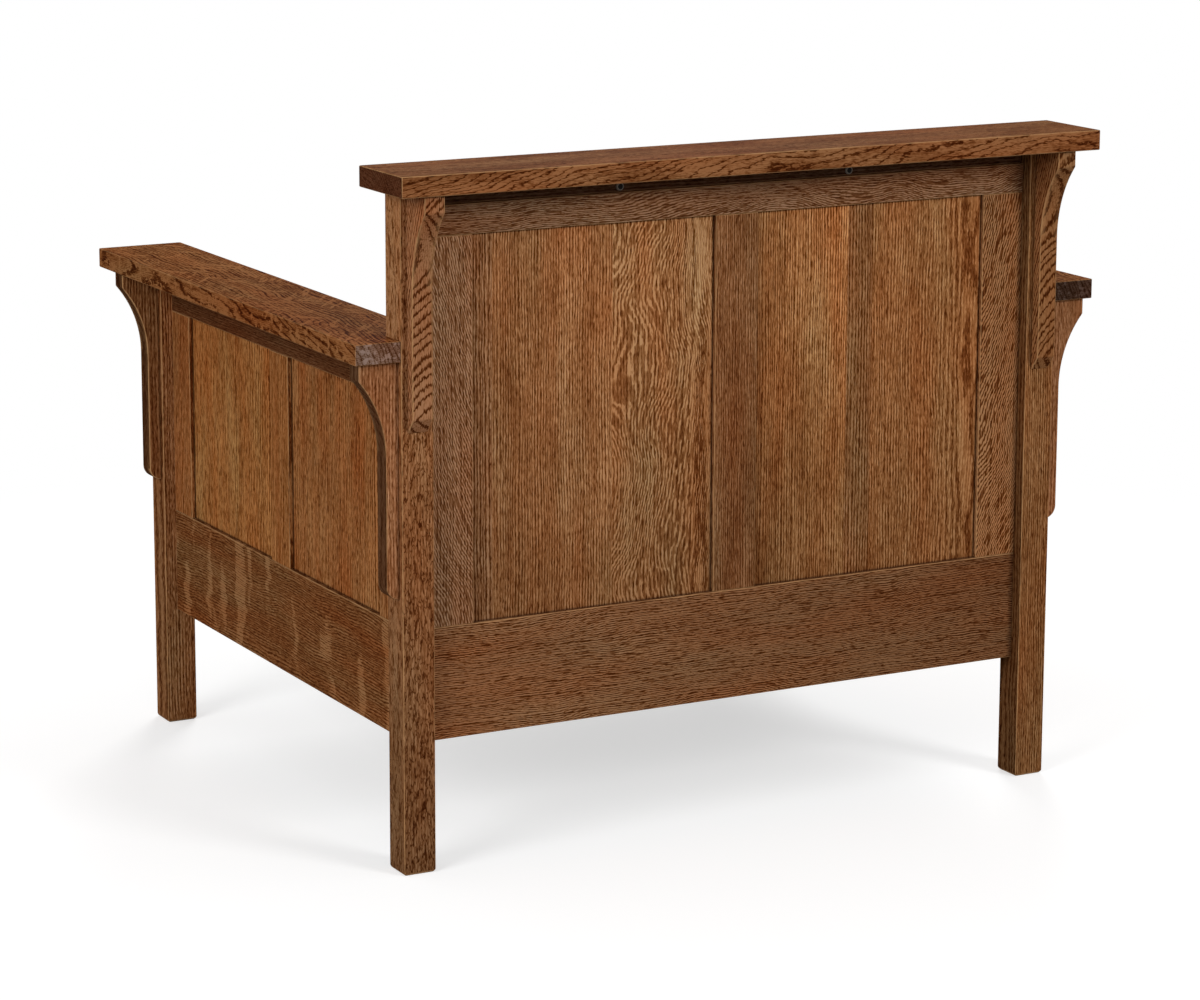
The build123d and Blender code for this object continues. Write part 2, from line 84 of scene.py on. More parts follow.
def noise(tree, place, detail, roughness, output=0):
    inputs = {"Vector": place, "Scale": 1.0, "Detail": detail, "Roughness": roughness}
    return addNode(tree, "ShaderNodeTexNoise", inputs).outputs[output]


def between(tree, value, low, high, bottom=0.0, top=1.0):
    # a smooth step from bottom to top, as the value goes from low to high
    inputs = {0: value, 1: low, 2: high, 3: bottom, 4: top}
    return addNode(tree, "ShaderNodeMapRange", inputs, interpolation_type="SMOOTHSTEP").outputs[0]


def mixColour(tree, share, first, second, blend="MIX"):
    inputs = {0: share, 6: first, 7: second}
    return addNode(tree, "ShaderNodeMix", inputs, data_type="RGBA", blend_type=blend).outputs[2]


def mixValue(tree, share, first, second):
    return addNode(tree, "ShaderNodeMix", {0: share, 2: first, 3: second}, data_type="FLOAT").outputs[0]


def marked(tree, colour, where, share, mark):
    # a colour with a share of another one where the mark lies
    return mixColour(tree, calc(tree, "MULTIPLY", where, share), colour, mark)


def coordinates(tree):
    return addNode(tree, "ShaderNodeTexCoord").outputs


def objectPlace(tree, scale=(1, 1, 1), rotation=(0, 0, 0)):
    inputs = {"Vector": coordinates(tree)["Object"], "Scale": scale, "Rotation": rotation}
    return addNode(tree, "ShaderNodeMapping", inputs).outputs[0]


def objectNoise(tree, scale, detail, roughness):
    # scale: noise waves in a metre
    return noise(tree, objectPlace(tree, scale), detail, roughness)


def newMaterial(name):
    material = bpy.data.materials.new(name)
    material.use_nodes = True
    material.node_tree.nodes.clear()
    return material


def finishSurface(material, look, colour, roughness, height):
    # Principled shader with a bump made from one height, and the look's constants on its own sockets
    tree = material.node_tree
    bumpInputs = {"Strength": look["bump"], "Distance": look["depth"], "Height": height}
    normal = addNode(tree, "ShaderNodeBump", bumpInputs).outputs[0]
    shaderInputs = {"Base Color": colour, "Roughness": roughness, "Normal": normal}
    shader = addNode(tree, "ShaderNodeBsdfPrincipled", shaderInputs)
    for name, value in look["constants"].items():
        shader.inputs[name].default_value = value
    addNode(tree, "ShaderNodeOutputMaterial", {"Surface": shader.outputs[0]})
    return material


# Quarter-sawn oak as a solid texture, in mm: x runs along the grain, y across the board's face and
# away from the pith, z through the thickness.

# what a board's look may set besides its tone, in camelCase there, and the usual value
oakInputs = {
    "Seed": 0.0, "Pith Distance": 160.0, "Pith Side": 40.0, "Lean": 0.0, "Runout": 0.0, "Ring Width": 4.5,
    "Line Width": 1.0, "Ring Strength": 0.7, "Wander": 8.0, "Jag": 0.8, "Ray Pitch": 0.23, "Ray Fan": 0.0,
    "Ray Slant": 0.0, "Ray Sweep": 2.0, "Ray Strength": 0.25, "Fleck": 0.0, "Flake": 0.0, "Bands": 0.0,
    "Clumps": 0.0, "Contrast": 1.0, "Side Gain": 1.0, "Drift": 0.0, "Tilt": 0.0, "Hue": 1.0, "Mottle": 1.0,
    "Arris": 0.8, "Curved": 0.0,
}
# each noise: waves in a mm along the grain, across the face and through the board, detail, roughness
oakNoises = {
    "bend": ((0.0065, 0.014, 0.014), 2.0, 0.5), "bead": ((0.11, 0.38, 0.38), 1.0, 0.5),
    "sweep": ((0.0068, 0.009, 0.009), 1.0, 0.45), "jitter": ((0.11, 0.3, 0.3), 1.0, 0.5),
    "leaning": ((0.014, 0.02, 0.02), 1.0, 0.5), "bandBend": ((0.004, 0.03, 0.03), 2.0, 0.5),
    "band": ((0.034, 0.0035, 0.0035), 1.0, 0.5), "bandPatch": ((0.012, 0.016, 0.016), 1.0, 0.5),
    "pore": ((1 / 9, 1 / 1.3, 1 / 1.3), 2.0, 0.6), "clump": ((0.055, 0.24, 0.24), 2.0, 0.6),
    "streak": ((0.012, 0.33, 0.33), 3.0, 0.65), "mottle": ((0.007, 0.028, 0.028), 2.0, 0.55),
    "worn": ((0.02, 0.1, 0.1), 3.0, 0.6), "endRow": ((0.0, 0.12, 1.3), 2.0, 0.5),
    "endColumn": ((0.0, 1.3, 0.12), 2.0, 0.5), "hue": ((0.004, 0.022, 0.022), 2.0, 0.5),
}
# where each smooth step starts and ends
oakSteps = {
    "rayLine": (0.12, 0.42), "rayPiece": (0.26, 0.5), "fleckLine": (0.04, 0.17), "fleckPiece": (0.44, 0.56),
    "flake": (0.56, 0.64), "band": (0.55, 0.63), "bandPatch": (0.34, 0.56), "pore": (0.46, 0.64),
    "clump": (0.55, 0.66), "worn": (0.3, 0.6), "arris": (0.86, 0.995), "curvedArris": (0.05, 0.3),
    "facing": (0.6, 0.95), "curvedSide": (0.5, 0.2),
}
oakFigure = {
    "seedSteps": (811.0, 57.0, 23.0),
    "ringStart": 0.42, "ringEnd": 0.26, "ringUneven": 3.2, "ringUnevenWaves": 0.045, "ringMiddle": 0.62,
    "rayThrough": 0.4, "rayJitter": 0.9, "rayLength": 24.0, "rayBreaks": (7.31, 3.7), "rayMiddle": 0.35,
    "flakeWaves": ((0.014, 0.016), (0.075, 0.085), 0.1), "bandBend": 1.6, "bandShare": (0.8, 0.36),
    "poreShare": (-0.7, 1.2), "poreMiddle": 0.3, "poreDepth": 0.6, "clumpDepth": 0.9,
    "streak": 0.5, "streakMiddle": 0.49, "mottle": 0.35, "pale": 0.6, "leastWorn": 0.35,
    # worn: the pale colour of an arris, wear through the stain and a painted highlight
    "endCalm": 0.4, "endLines": 1.2, "endDark": (0.55, 0.5, 0.45), "worn": (0.42, 0.23, 0.1, 1),
    "darkest": -0.7, "palest": 0.6, "range": 1.5, "greenPower": 1.38, "bluePower": 1.8, "greenHue": 0.6,
    "drift": 0.002, "roughness": (-0.16, 0.52), "height": 0.5, "bump": 0.3, "depth": 0.0005,
    "constants": {"Specular IOR Level": 0.0, "Coat Weight": 0.012, "Coat Roughness": 0.4},
}


def makeOakGroup():
    group = bpy.data.node_groups.new("quarteredOak", "ShaderNodeTree")
    taken = [("Place", "Vector"), ("Facing", "Vector"), ("Tone", "Color"), ("End Tone", "Color")]
    for name, kind in taken + [(name, "Float") for name in oakInputs]:
        group.interface.new_socket(name, in_out="INPUT", socket_type="NodeSocket" + kind)
    for name, kind in (("Color", "Color"), ("Roughness", "Float"), ("Height", "Float")):
        group.interface.new_socket(name, in_out="OUTPUT", socket_type="NodeSocket" + kind)
    given = group.nodes.new("NodeGroupInput").outputs

    def times(first, second):
        return calc(group, "MULTIPLY", first, second)

    def plus(first, second):
        return calc(group, "ADD", first, second)

    def less(first, second):
        return calc(group, "SUBTRACT", first, second)

    def larger(first, second):
        return calc(group, "MAXIMUM", first, second)

    def joined(x, y, z=0.0):
        return addNode(group, "ShaderNodeCombineXYZ", {0: x, 1: y, 2: z}).outputs[0]

    def joinedColour(red, green, blue):
        return addNode(group, "ShaderNodeCombineColor", {0: red, 1: green, 2: blue}).outputs[0]

    def grown(kind, moved=None, output=0):
        # one of the noises, at the board's own place in the tree
        scale, detail, roughness = oakNoises[kind]
        at = vectorCalc(group, "MULTIPLY", own, scale)
        if moved is not None:
            at = vectorCalc(group, "ADD", at, moved)
        return noise(group, at, detail, roughness, output)

    def rising(value, kind):
        return between(group, value, *oakSteps[kind])

    def falling(value, kind):
        return between(group, value, *oakSteps[kind], 1.0, 0.0)

    seedMoves = [times(given["Seed"], step) for step in oakFigure["seedSteps"]]
    own = vectorCalc(group, "ADD", given["Place"], joined(*seedMoves))
    place = split(group, given["Place"])

    # the tree's slow bends, which make arches on flat-sawn faces
    slow = vectorCalc(group, "SUBTRACT", grown("bend", output=1), (0.5, 0.5, 0.5))
    bend = addNode(group, "ShaderNodeVectorMath", {0: slow, 3: given["Wander"]}, operation="SCALE").outputs[0]
    bent = split(group, vectorCalc(group, "ADD", given["Place"], bend))
    out = plus(plus(bent[1], given["Pith Distance"]), times(bent[0], given["Runout"]))
    aside = plus(plus(bent[2], given["Pith Side"]), times(bent[0], given["Lean"]))
    radius = calc(group, "SQRT", plus(times(out, out), times(aside, aside)))

    # year rings: a porous dark start, then denser and paler wood
    unevenPlace = joined(times(radius, oakFigure["ringUnevenWaves"]), given["Seed"])
    uneven = times(noise(group, unevenPlace, 3.0, 0.6), oakFigure["ringUneven"])
    beads = times(less(grown("bead"), 0.5), given["Jag"])
    ringCount = plus(plus(calc(group, "DIVIDE", radius, given["Ring Width"]), uneven), beads)
    ringShare = calc(group, "FRACT", ringCount)
    ringRise = between(group, ringShare, 0.0, times(given["Line Width"], oakFigure["ringStart"]))
    turn = less(1.0, times(given["Line Width"], oakFigure["ringEnd"]))
    dense = times(ringRise, between(group, ringShare, turn, 1.0, 1.0, 0.0))

    # rays: pale lines whose pitch and slant drift over the face, each broken into short lengths
    sweep = less(grown("sweep"), 0.5)
    jitter = times(less(grown("jitter"), 0.5), oakFigure["rayJitter"])
    pitch = plus(given["Ray Pitch"], times(place[1], given["Ray Fan"]))
    rayCount = plus(times(place[1], pitch), times(place[2], oakFigure["rayThrough"]))
    rayCount = plus(rayCount, times(place[0], given["Ray Slant"]))
    rayCount = plus(plus(rayCount, times(sweep, times(given["Ray Sweep"], 2.0))), jitter)
    ray = calc(group, "FLOOR", rayCount)
    wave = calc(group, "ABSOLUTE", less(calc(group, "FRACT", rayCount), 0.5))
    lengths = calc(group, "DIVIDE", place[0], oakFigure["rayLength"])
    breaks = [times(ray, step) for step in oakFigure["rayBreaks"]]
    piece = noise(group, joined(plus(lengths, breaks[0]), breaks[1], given["Seed"]), 1.0, 0.5)
    softLines = times(falling(wave, "rayLine"), rising(piece, "rayPiece"))
    lines = times(less(softLines, oakFigure["rayMiddle"]), given["Ray Strength"])
    flecks = times(times(falling(wave, "fleckLine"), rising(piece, "fleckPiece")), given["Fleck"])

    # flakes: short pale strokes that cross the grain, leaning one way or the other
    leaning = less(times(calc(group, "GREATER_THAN", grown("leaning"), 0.5), 2.0), 1.0)
    slowWaves, fastWaves, throughWaves = oakFigure["flakeWaves"]
    stroke = joined(
        plus(times(place[0], slowWaves[0]), times(times(place[1], slowWaves[1]), leaning)),
        less(times(place[0], fastWaves[0]), times(times(place[1], fastWaves[1]), leaning)),
        plus(times(place[2], throughWaves), given["Seed"]))
    flakes = times(rising(noise(group, stroke, 2.0, 0.6), "flake"), given["Flake"])

    # bands: broad pale waves across the grain, in patches, weaker in a ring's dark start
    wavy = grown("band", joined(times(grown("bandBend"), oakFigure["bandBend"]), 0.0))
    bandShare = times(rising(wavy, "band"), rising(grown("bandPatch"), "bandPatch"))
    bands = times(bandShare, times(given["Bands"], linear(group, dense, *oakFigure["bandShare"])))

    # pores: dark dashes along the grain, thickest in the ring's dark start, and clumps of them
    pores = times(rising(grown("pore"), "pore"), linear(group, dense, *oakFigure["poreShare"]))
    clumps = times(rising(grown("clump", slow), "clump"), given["Clumps"])
    streaks = times(less(grown("streak"), oakFigure["streakMiddle"]), oakFigure["streak"])
    mottle = times(times(less(grown("mottle"), 0.5), given["Mottle"]), oakFigure["mottle"])

    # which way the surface faces: end grain, a board's side, or an eased arris, which is pale from wear
    # through the stain and from a painted highlight
    towards = split(group, vectorCalc(group, "ABSOLUTE", given["Facing"]))
    squareArris = falling(larger(larger(towards[0], towards[1]), towards[2]), "arris")
    curvedArris = times(rising(towards[2], "curvedArris"), falling(towards[2], "arris"))
    square = less(1.0, given["Curved"])
    arris = plus(times(squareArris, square), times(curvedArris, given["Curved"]))
    worn = between(group, grown("worn"), *oakSteps["worn"], oakFigure["leastWorn"], 1.0)
    arris = times(times(arris, worn), given["Arris"])
    endShare = rising(towards[0], "facing")

    # the whole figure as one shade, above 0 where it is paler than the tone
    rings = times(less(dense, oakFigure["ringMiddle"]), given["Ring Strength"])
    poreShade = times(less(oakFigure["poreMiddle"], pores), oakFigure["poreDepth"])
    shade = plus(plus(rings, streaks), plus(lines, poreShade))
    shade = times(less(shade, times(clumps, oakFigure["clumpDepth"])), given["Contrast"])
    shade = plus(plus(shade, times(plus(plus(flecks, bands), flakes), oakFigure["pale"])), mottle)
    endLines = times(less(plus(grown("endRow"), grown("endColumn")), 1.0), endShare)
    shade = times(shade, less(1.0, times(endShare, oakFigure["endCalm"])))
    shade = plus(shade, times(endLines, oakFigure["endLines"]))

    # the stain's law: where the wood is darker, green and blue fall faster than red
    held = calc(group, "MINIMUM", larger(shade, oakFigure["darkest"]), oakFigure["palest"])
    gain = calc(group, "EXPONENT", times(held, oakFigure["range"]))
    redder = times(less(grown("hue"), 0.5), given["Hue"])
    green = calc(group, "POWER", gain, oakFigure["greenPower"])
    green = times(green, less(1.0, times(redder, oakFigure["greenHue"])))
    blue = times(calc(group, "POWER", gain, oakFigure["bluePower"]), less(1.0, redder))

    # the tone: a board's side is painted lighter or darker by its own gain, a painted light and shade for how
    # the light falls on it, and the face drifts along the grain and across it
    squareSide = times(rising(towards[1], "facing"), square)
    curvedSide = times(rising(towards[2], "curvedSide"), given["Curved"])
    sideLightAndDrift = plus(1.0, times(plus(squareSide, curvedSide), less(given["Side Gain"], 1.0)))
    for axis, drift in ((0, "Drift"), (1, "Tilt")):
        sideLightAndDrift = times(sideLightAndDrift, plus(1.0, times(times(place[axis], oakFigure["drift"]), given[drift])))
    tone = mixColour(group, 1.0, given["Tone"], joinedColour(sideLightAndDrift, sideLightAndDrift, sideLightAndDrift), "MULTIPLY")
    tone = mixColour(group, endShare, tone, given["End Tone"])
    colour = mixColour(group, 1.0, tone, joinedColour(gain, green, blue), "MULTIPLY")
    # the pale arris: wear through the stain, and a painted highlight where the eased edge catches the light
    colour = mixColour(group, arris, colour, oakFigure["worn"])

    made = group.nodes.new("NodeGroupOutput").inputs
    group.links.new(colour, made[0])
    group.links.new(linear(group, shade, *oakFigure["roughness"]), made[1])
    group.links.new(times(less(shade, pores), oakFigure["height"]), made[2])
    return group


# painted shade on a panel along its frame, where the frame's edge shades it, in mm from the edge that the
# frame's groove hides
panelPaintedShade = {"hidden": 6.0, "width": 3.5, "strength": 0.8, "colour": (0.02, 0.007, 0.004, 1)}
axisVectors = {"X": Vector((1, 0, 0)), "Y": Vector((0, 1, 0)), "Z": Vector((0, 0, 1))}


def paintedShadeShare(tree, place, size, axes):
    # 1 where a panel meets its frame, where the painted shade goes
    reach = split(tree, vectorCalc(tree, "ABSOLUTE", place))
    shares = []
    for i, axis in enumerate(axes):
        edge = abs(size.dot(axis)) / (2 * millimetre) - panelPaintedShade["hidden"]
        shares.append(between(tree, reach[i], edge - panelPaintedShade["width"], edge))
    return calc(tree, "MAXIMUM", *shares)


def oakBoard(tree, look, place, facing):
    # colour, roughness and height of one board
    board = addNode(tree, "ShaderNodeGroup", node_tree=oakGroup)
    tree.links.new(place, board.inputs["Place"])
    tree.links.new(facing, board.inputs["Facing"])
    endTone = look.get("end") or [c * d for c, d in zip(look["tone"], oakFigure["endDark"])]
    board.inputs["Tone"].default_value = (*look["tone"], 1)
    board.inputs["End Tone"].default_value = (*endTone, 1)
    for setting, usual in oakInputs.items():
        key = setting[0].lower() + setting[1:].replace(" ", "")
        board.inputs[setting].default_value = look.get(key, usual)
    return [board.outputs[i] for i in range(3)]


def oakMaterial(name, grain, face, boards):
    # boards: one look, or for a glued-up panel several, each with the place across it where it starts
    material = newMaterial("oak_" + name)
    tree = material.node_tree
    lowest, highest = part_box(name)
    along, through = axisVectors[grain], axisVectors[face]
    across = through.cross(along)
    turned = Matrix((along, across, through)).transposed().to_euler()
    surface = coordinates(tree)
    placeInputs = {
        "Vector": surface["Object"], "Location": (lowest + highest) / 2, "Rotation": turned,
        "Scale": (millimetre, millimetre, millimetre),
    }
    place = addNode(tree, "ShaderNodeMapping", placeInputs, vector_type="TEXTURE").outputs[0]
    facingInputs = {"Vector": surface["Normal"], "Rotation": turned}
    facing = addNode(tree, "ShaderNodeMapping", facingInputs, vector_type="TEXTURE").outputs[0]
    colour, roughness, height = oakBoard(tree, boards[0], place, facing)
    for look in boards[1:]:
        nextColour, nextRoughness, nextHeight = oakBoard(tree, look, place, facing)
        here = calc(tree, "GREATER_THAN", split(tree, place)[1], look["start"])
        colour = mixColour(tree, here, colour, nextColour)
        roughness = mixValue(tree, here, roughness, nextRoughness)
        height = mixValue(tree, here, height, nextHeight)
    # a panel gets a painted shade along its frame
    if "panel" in name:
        shadedBorder = paintedShadeShare(tree, place, highest - lowest, (along, across))
        colour = marked(tree, colour, shadedBorder, panelPaintedShade["strength"], panelPaintedShade["colour"])
    return finishSurface(material, oakFigure, colour, roughness, height)


oakGroup = makeOakGroup()

# Each oak member: grain axis, axis through its thickness, then the looks of its boards.
# A look's side setting paints light or shade on a board's sides, as the light falls on them.
oakMembers = {
    "cap": ("X", "Z", [
        dict(seed=1, tone=(0.112, 0.0325, 0.0086), end=(0.053, 0.0145, 0.0049), sideGain=1.04, mottle=3.4,
             lean=0.22, pithSide=150, pithDistance=200, ringStrength=0.75, lineWidth=0.5, wander=30,
             rayStrength=0.12, clumps=0.3, contrast=1.15)]),
    "cap_cleat": ("X", "Y", [dict(seed=2, tone=(0.09, 0.034, 0.014), ringStrength=0.3)]),
    "back_top_rail": ("X", "Y", [
        dict(seed=3, tone=(0.14, 0.055, 0.021), ringWidth=3.4, ringStrength=0.2, rayStrength=0.6,
             rayPitch=0.4, raySweep=16.0, fleck=0.45, contrast=1.2)]),
    "back_bottom_rail": ("X", "Y", [
        dict(seed=4, tone=(0.1025, 0.034, 0.0105), ringWidth=3.0, ringStrength=0.65, rayStrength=0.65,
             rayPitch=0.42, raySweep=10.0, wander=10, fleck=0.6, drift=0.22, contrast=1.3)]),
    "back_stile_left": ("Z", "Y", [
        dict(seed=5, tone=(0.16, 0.061, 0.0225), ringStrength=0.3, rayStrength=0.45, rayPitch=0.3,
             raySlant=-0.11, raySweep=6.0, fleck=0.8, contrast=1.2, drift=0.38)]),
    "back_stile_right": ("Z", "Y", [
        dict(seed=6, tone=(0.146, 0.049, 0.0143), ringStrength=0.4, rayStrength=1.0, rayPitch=0.25,
             raySlant=0.1, raySweep=7.0, fleck=0.8, contrast=1.2)]),
    "back_mullion": ("Z", "Y", [
        dict(seed=7, tone=(0.14, 0.049, 0.0155), ringWidth=2.8, ringStrength=0.5, rayStrength=0.3,
             drift=0.39, mottle=2)]),
    "back_panel_left": ("Z", "Y", [
        dict(seed=8, tone=(0.182, 0.066, 0.02), ringStrength=0.45, rayStrength=0.45, fleck=1.3,
             rayPitch=0.12, rayFan=-0.0006, raySweep=13.0, drift=0.5, mottle=1.6),
        dict(seed=9, tone=(0.2065, 0.075, 0.0235), start=-27.0, ringWidth=3.8, ringStrength=0.55,
             drift=0.44, tilt=-0.56, mottle=1.4),
        dict(seed=10, tone=(0.16, 0.059, 0.02), start=146.0, drift=0.47)]),
    "back_panel_right": ("Z", "Y", [
        dict(seed=11, tone=(0.186, 0.065, 0.0187), wander=14, ringWidth=4, ringStrength=0.5, fleck=0.4,
             drift=0.4),
        dict(seed=12, tone=(0.148, 0.051, 0.015), start=-5.0, drift=0.25),
        dict(seed=13, tone=(0.248, 0.088, 0.0252), start=34.0, ringWidth=3.8, ringStrength=0.6, drift=0.6,
             tilt=-1, mottle=1.4)]),
    "cross_stretcher": ("X", "Y", [dict(seed=14, tone=(0.13, 0.044, 0.013))]),
}
# the members that come in pairs: some of them differ from left to right
# the arms' end grain: its own dark colour, and on the left a painted grey sheen; the right one is much darker
armEndGrainAndSheen = {"left": (0.106, 0.048, 0.0255), "right": (0.034, 0.0145, 0.0075)}
capCorbelTones = {"left": (0.17, 0.055, 0.0175), "right": (0.137, 0.0425, 0.0115)}
backPosts = {
    "left": dict(seed=24, tone=(0.148, 0.052, 0.0165), ringStrength=0.6, lineWidth=0.6, ringWidth=2.2,
                 pithDistance=4, pithSide=60, lean=0.06, wander=9, jag=2.2, clumps=0.68, drift=0.45,
                 sideGain=1.1),
    "right": dict(seed=25, tone=(0.15, 0.054, 0.016), ringStrength=0.5, ringWidth=3, pithDistance=90,
                  drift=0.2, sideGain=0.6),
}
for n, hand in enumerate(("left", "right")):
    pairs = {
        "arm": ("Y", "Z", dict(
            seed=20 + n, tone=(0.125, 0.035, 0.0083), end=armEndGrainAndSheen[hand], sideGain=0.89, arris=0.4,
            mottle=2.4, ringStrength=0.7, lineWidth=0.7, ringWidth=6, jag=0.35, wander=34,
            pithDistance=240, pithSide=60, lean=0.2, flake=1.8, clumps=0.35, contrast=1.15)),
        "post_front": ("Z", "Y", dict(
            seed=22 + n, tone=(0.187, 0.064, 0.0193), ringStrength=0.45, sideGain=0.71, drift=0.1,
            contrast=1.2)),
        "post_back": ("Z", "Y", backPosts[hand]),
        "arm_corbel_front": ("Z", "Y", dict(
            seed=26 + n, tone=(0.17, 0.057, 0.017), curved=1.0, arris=1.5, sideGain=0.35,
            ringStrength=0.4)),
        "arm_corbel_back": ("Z", "Y", dict(
            seed=28 + n, tone=(0.21, 0.077, 0.028), curved=1.0, arris=0.5, sideGain=0.3,
            ringStrength=0.25)),
        "cap_corbel": ("Z", "X", dict(
            seed=30 + n, tone=capCorbelTones[hand], curved=1.0, sideGain=0.85, pithDistance=200,
            pithSide=60, runout=0.35, lineWidth=0.8, wander=10, ringStrength=1.0)),
        # the side top rail's dark tone holds a painted shadow of the arm above it
        "side_top_rail": ("Y", "X", dict(
            seed=32 + n, tone=(0.085, 0.027, 0.0088), ringWidth=3, ringStrength=0.3, contrast=0.8)),
        "side_bottom_rail": ("Y", "X", dict(
            seed=34 + n, tone=(0.115, 0.037, 0.01), wander=26, ringStrength=0.5, ringWidth=3.5,
            bands=1.25, hue=1.6)),
        "side_front_stile": ("Z", "X", dict(seed=36 + n, tone=(0.18, 0.058, 0.015))),
        "side_back_stile": ("Z", "X", dict(seed=38 + n, tone=(0.17, 0.056, 0.015))),
        "side_mullion": ("Z", "X", dict(seed=40 + n, tone=(0.18, 0.058, 0.014))),
        "side_front_panel": ("Z", "X", dict(
            seed=42 + n, tone=(0.194, 0.062, 0.014), ringStrength=0.5, contrast=1.45, hue=1.3,
            mottle=1.5)),
        "side_back_panel": ("Z", "X", dict(
            seed=44 + n, tone=(0.171, 0.053, 0.013), ringStrength=0.5, contrast=1.45, hue=1.3,
            mottle=1.8)),
    }
    for kind, (grain, face, look) in pairs.items():
        oakMembers[f"{kind}_{hand}"] = (grain, face, [look])

easedEdge = {"radius": 0.0016, "segments": 3, "angle": 35, "weld": 0.00002}


def easeEdges(piece, radius):
    weld = piece.modifiers.new("joined", "WELD")
    weld.merge_threshold = easedEdge["weld"]
    eased = piece.modifiers.new("eased", "BEVEL")
    eased.width = radius
    eased.segments = easedEdge["segments"]
    eased.limit_method = "ANGLE"
    eased.angle_limit = math.radians(easedEdge["angle"])
    eased.use_clamp_overlap = False
    eased.loop_slide = False
    eased.harden_normals = True


def dress(piece, material):
    piece.data.materials.clear()
    piece.data.materials.append(material)


for name, (grain, face, boards) in oakMembers.items():
    dress(nodes[name], oakMaterial(name, grain, face, boards))
    easeEdges(nodes[name], easedEdge["radius"])
print("oak dressed:", len(oakMembers), "members")


# Metal, nylon, plywood, seat box wood and straps inside the chair. A noise is its waves in a metre,
# detail and roughness. A finish's own roughness is its gain on the pattern and its least value.

blackSteel = {
    "dark": (0.012, 0.012, 0.013, 1), "pale": (0.03, 0.03, 0.032, 1), "cloud": ((25, 25, 25), 3.0, 0.5),
    "scuffed": (0.12, 0.12, 0.12, 1), "scuffShare": 0.5, "scuff": ((70, 260, 260), 4.0, 0.65),
    "scuffStep": (0.66, 0.78), "peel": ((900, 900, 900), 2.0, 0.5),
    "roughness": (0.16, 0.36), "bump": 0.25, "depth": 0.0003, "constants": {"Specular IOR Level": 0.5},
}


def makeBlackSteel(look):
    material = newMaterial("black_powder_coat")
    tree = material.node_tree
    peel = objectNoise(tree, *look["peel"])
    cloud = objectNoise(tree, *look["cloud"])
    scuff = between(tree, objectNoise(tree, *look["scuff"]), *look["scuffStep"])
    colour = mixColour(tree, cloud, look["dark"], look["pale"])
    colour = marked(tree, colour, scuff, look["scuffShare"], look["scuffed"])
    return finishSurface(material, look, colour, linear(tree, cloud, *look["roughness"]), peel)


brightZinc = {
    "dark": (0.45, 0.46, 0.47, 1), "pale": (0.66, 0.66, 0.64, 1), "spangles": 420.0,
    "brushed": ((2600, 300, 2600), 3.0, 0.5),
    "roughness": (0.2, 0.22), "bump": 0.15, "depth": 0.0002, "constants": {"Metallic": 1.0},
}


def makeZincSteel(look):
    material = newMaterial("bright_zinc")
    tree = material.node_tree
    spangleInputs = {"Vector": objectPlace(tree), "Scale": look["spangles"]}
    spangle = addNode(tree, "ShaderNodeTexVoronoi", spangleInputs).outputs["Color"]
    grey = addNode(tree, "ShaderNodeSeparateColor", {0: spangle}).outputs[0]
    brushed = objectNoise(tree, *look["brushed"])
    colour = mixColour(tree, grey, look["dark"], look["pale"])
    return finishSurface(material, look, colour, linear(tree, brushed, *look["roughness"]), brushed)


# the two round heads on the cleat: dark, with a paler rim that is given in shares of their radius
agedScrews = {
    "dark": (0.004, 0.003, 0.003, 1), "pale": (0.014, 0.011, 0.009, 1), "spots": ((900, 900, 900), 3.0, 0.6),
    "rim": (0.42, 0.36, 0.3, 1), "rimShare": 0.75, "rimStart": 0.6, "rimEnd": 0.74,
    "roughness": (0.2, 0.4), "bump": 0.2, "depth": 0.0002, "constants": {"Specular IOR Level": 0.06},
}


def makeScrewSteel(look):
    material = newMaterial("aged_screw_steel")
    tree = material.node_tree
    lowest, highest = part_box("cap_screws")
    head = (highest.z - lowest.z) / 2
    part = split(tree, coordinates(tree)["Object"])
    aside = calc(tree, "SUBTRACT", calc(tree, "ABSOLUTE", part[0]), highest.x - head)
    above = calc(tree, "SUBTRACT", part[2], (highest.z + lowest.z) / 2)
    squares = [calc(tree, "MULTIPLY", step, step) for step in (aside, above)]
    reach = calc(tree, "SQRT", calc(tree, "ADD", *squares))
    rim = between(tree, reach, head * look["rimStart"], head * look["rimEnd"])
    spots = objectNoise(tree, *look["spots"])
    colour = mixColour(tree, spots, look["dark"], look["pale"])
    colour = marked(tree, colour, rim, look["rimShare"], look["rim"])
    return finishSurface(material, look, colour, linear(tree, spots, *look["roughness"]), spots)


rollerNylon = {
    "dark": (0.62, 0.6, 0.54, 1), "pale": (0.74, 0.72, 0.67, 1), "cloud": ((60, 60, 60), 3.0, 0.5),
    "grimy": (0.2, 0.18, 0.15, 1), "grimeShare": 0.45, "grime": ((240, 90, 90), 4.0, 0.7),
    "grimeStep": (0.52, 0.72),
    "roughness": (0.3, 0.32), "bump": 0.1, "depth": 0.0003, "constants": {"Subsurface Weight": 0.08},
}


def makeNylon(look):
    material = newMaterial("roller_nylon")
    tree = material.node_tree
    cloud = objectNoise(tree, *look["cloud"])
    grime = between(tree, objectNoise(tree, *look["grime"]), *look["grimeStep"])
    colour = mixColour(tree, cloud, look["dark"], look["pale"])
    colour = marked(tree, colour, grime, look["grimeShare"], look["grimy"])
    return finishSurface(material, look, colour, linear(tree, grime, *look["roughness"]), cloud)


